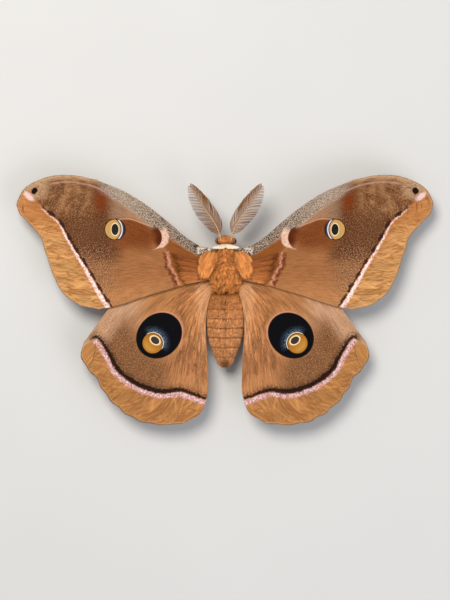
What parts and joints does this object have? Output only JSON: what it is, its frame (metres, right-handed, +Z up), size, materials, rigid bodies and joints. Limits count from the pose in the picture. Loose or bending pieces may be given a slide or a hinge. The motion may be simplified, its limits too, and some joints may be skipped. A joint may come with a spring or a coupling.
{
  "type": "polyphemus moth",
  "caption": "Life-size polyphemus moth standing with its wings spread flat, with feathered antennae, furry thorax, segmented abdomen and eyespots on every wing.",
  "frame": {"origin": "on the floor the feet stand on, under the middle of the spread wings", "axes": "+X to the moth's own left along the wingspan, +Y from head to tail, +Z up"},
  "size_m": [0.1296, 0.0778, 0.0152],
  "materials": {
    "forewing": "matte scales, tan with an ochre margin",
    "hindwing": "matte scales, tan with a dark band",
    "thorax": "long orange fur",
    "abdomen": "dense tan fur",
    "collar": "white fur",
    "head": "short orange fur",
    "eye": "glossy dark brown",
    "antenna": "matte brown",
    "leg": "short brown fur"
  },
  "bodies": {
    "root": {"forewing_left": "forewing", "forewing_right": "forewing", "hindwing_left": "hindwing", "hindwing_right": "hindwing", "thorax": "thorax", "abdomen": "abdomen", "collar": "collar", "head": "head", "eye_left": "eye", "eye_right": "eye", "antenna_left": "antenna", "antenna_right": "antenna", "leg_fore_left": "leg", "leg_fore_right": "leg", "leg_mid_left": "leg", "leg_mid_right": "leg", "leg_hind_left": "leg", "leg_hind_right": "leg"}
  },
  "joints": []
}
